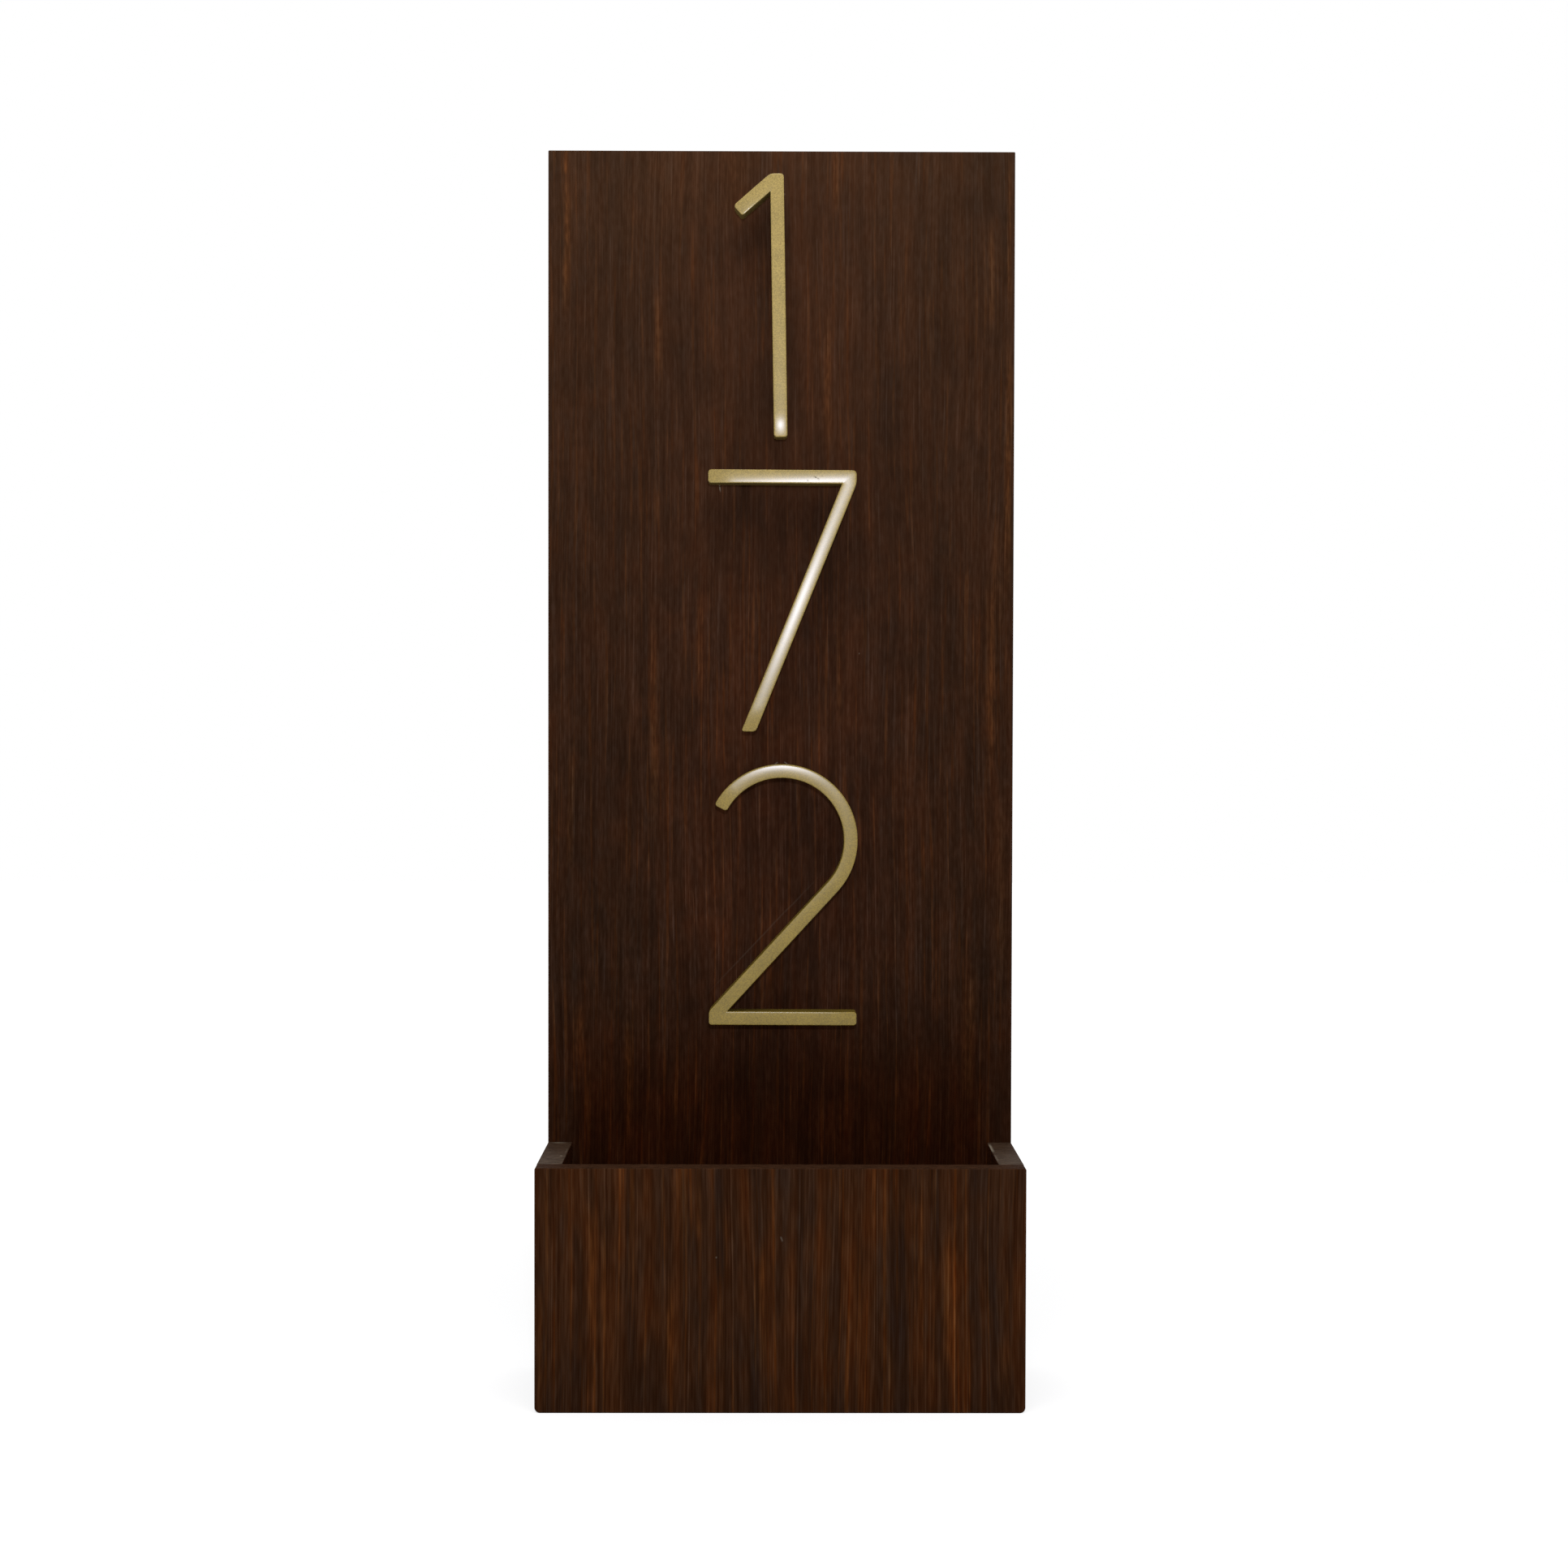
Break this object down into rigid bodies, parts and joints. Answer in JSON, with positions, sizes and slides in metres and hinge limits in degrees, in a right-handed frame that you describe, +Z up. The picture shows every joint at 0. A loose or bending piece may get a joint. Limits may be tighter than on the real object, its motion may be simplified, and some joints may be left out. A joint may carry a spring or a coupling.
{
  "type": "house number plaque",
  "caption": "Tall stained-wood house number plaque with slim gold numerals that float in front of it and an open planter box at its foot, hung flush on a wall by sunk keyhole plates.",
  "frame": {"origin": "on the base, in the middle of the width and of the whole depth", "axes": "+Z up, +Y towards the wall behind the plaque, so the numerals look towards -Y; +X to the viewer's right"},
  "size_m": [0.2286, 0.088, 0.601],
  "materials": {
    "stained_wood": "dark walnut stain under satin varnish",
    "satin_gold": "satin champagne-gold lacquer",
    "zinc_steel": "bright zinc plate",
    "sleeve_black": "black moulded",
    "dowel_beech": "bare beech"
  },
  "bodies": {
    "root": {"back_board": "stained_wood", "front_panel": "stained_wood", "left_side_panel": "stained_wood", "right_side_panel": "stained_wood", "bottom_panel": "stained_wood", "numeral_one": "satin_gold", "numeral_seven": "satin_gold", "numeral_two": "satin_gold", "numeral_studs": "zinc_steel", "standoff_sleeves": "sleeve_black", "front_dowels": "dowel_beech", "keyhole_hanger_left": "zinc_steel", "keyhole_hanger_right": "zinc_steel", "hanger_screws": "zinc_steel", "box_screws": "zinc_steel"}
  },
  "joints": []
}
